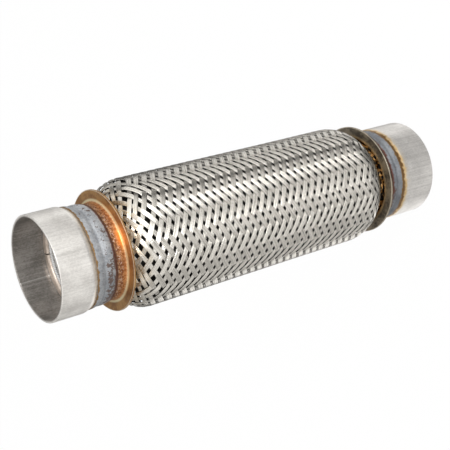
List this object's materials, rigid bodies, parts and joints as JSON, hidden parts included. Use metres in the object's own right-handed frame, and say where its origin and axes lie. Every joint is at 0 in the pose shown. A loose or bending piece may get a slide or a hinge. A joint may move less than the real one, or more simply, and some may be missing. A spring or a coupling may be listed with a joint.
{
  "type": "exhaust flex pipe",
  "caption": "Exhaust flex pipe: corrugated bellows in a wire braid, with flanged collars and welded nipples.",
  "frame": {"origin": "centre of the outlet mouth's end face, which the pipe stands on", "axes": "+Z along the pipe's axis from the outlet mouth to the inlet mouth"},
  "size_m": [0.079, 0.079, 0.285],
  "materials": {
    "nipple_steel": "drawn tube, pale and lightly lined along its length",
    "weld_metal": "matte blue-grey weld scale with dark specks and a gold tint at its edge",
    "collar_steel": "heat-tinted brown and straw, bright at the bend and the rim",
    "braid_wire": "bright woven wire bundles, straw-tinted at the collars",
    "bellows_steel": "dull thin sheet",
    "liner_wire": "fine wire mesh, shaded",
    "ring_steel": "bright rolled strip with a warm tint"
  },
  "bodies": {
    "root": {"inlet_nipple": "nipple_steel", "outlet_nipple": "nipple_steel", "inlet_weld": "weld_metal", "outlet_weld": "weld_metal", "inlet_collar": "collar_steel", "outlet_collar": "collar_steel", "inlet_liner_ring": "ring_steel", "outlet_liner_ring": "ring_steel", "bellows": "bellows_steel", "mesh_liner": "liner_wire", "outer_braid": "braid_wire"}
  },
  "joints": []
}
